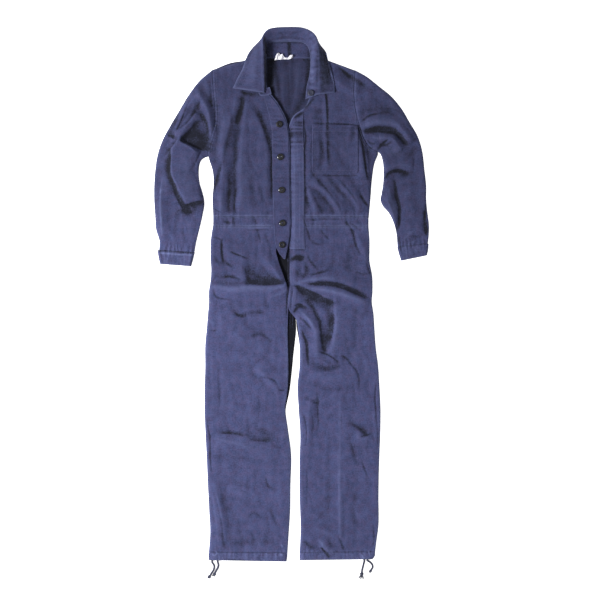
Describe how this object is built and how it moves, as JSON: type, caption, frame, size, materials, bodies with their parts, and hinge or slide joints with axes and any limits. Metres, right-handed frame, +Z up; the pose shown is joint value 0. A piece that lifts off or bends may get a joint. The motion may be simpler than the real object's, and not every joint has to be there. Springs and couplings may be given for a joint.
{
  "type": "boiler suit",
  "caption": "Full-length work suit in faded cotton twill, with long sleeves, shirt collar, button front, chest pocket and drawcord hems, laid flat on its back.",
  "frame": {"origin": "middle of the suit's flat underside, without the drawcord ends", "axes": "+Z up from the surface that it lies on, +Y from the hems towards the collar, +X towards the wearer's left side"},
  "size_m": [0.8246, 1.6578, 0.0285],
  "materials": {
    "twill": "faded indigo cotton twill, matt",
    "inside": "unfaded cotton twill, matt",
    "button": "polished dark plastic",
    "label": "plain woven white tape, blank",
    "cord": "braided cotton cord"
  },
  "bodies": {
    "root": {"front_right": "twill", "front_left": "twill", "sleeve_right_top": "twill", "sleeve_left_top": "twill", "sleeve_right_under": "twill", "sleeve_left_under": "twill", "back": "twill", "waistband_right": "twill", "waistband_left": "twill", "waistband_back": "twill", "leg_right_front": "twill", "leg_left_front": "twill", "leg_right_back": "twill", "leg_left_back": "twill", "cuff_right": "twill", "cuff_left": "twill", "hem_right": "twill", "hem_left": "twill", "button_strip_front": "twill", "button_strip_waist": "twill", "button_strip_fly": "twill", "buttonhole_strip_front": "twill", "buttonhole_strip_waist": "twill", "buttonhole_strip_fly": "twill", "chest_pocket": "twill", "collar": "twill", "neck_facing": "inside", "label": "label", "button_1": "button", "button_2": "button", "button_3": "button", "button_4": "button", "button_5": "button", "button_6": "button", "cord_right_a": "cord", "knot_right_a": "cord", "cord_right_b": "cord", "knot_right_b": "cord", "cord_left_a": "cord", "knot_left_a": "cord", "cord_left_b": "cord", "knot_left_b": "cord"}
  },
  "joints": []
}
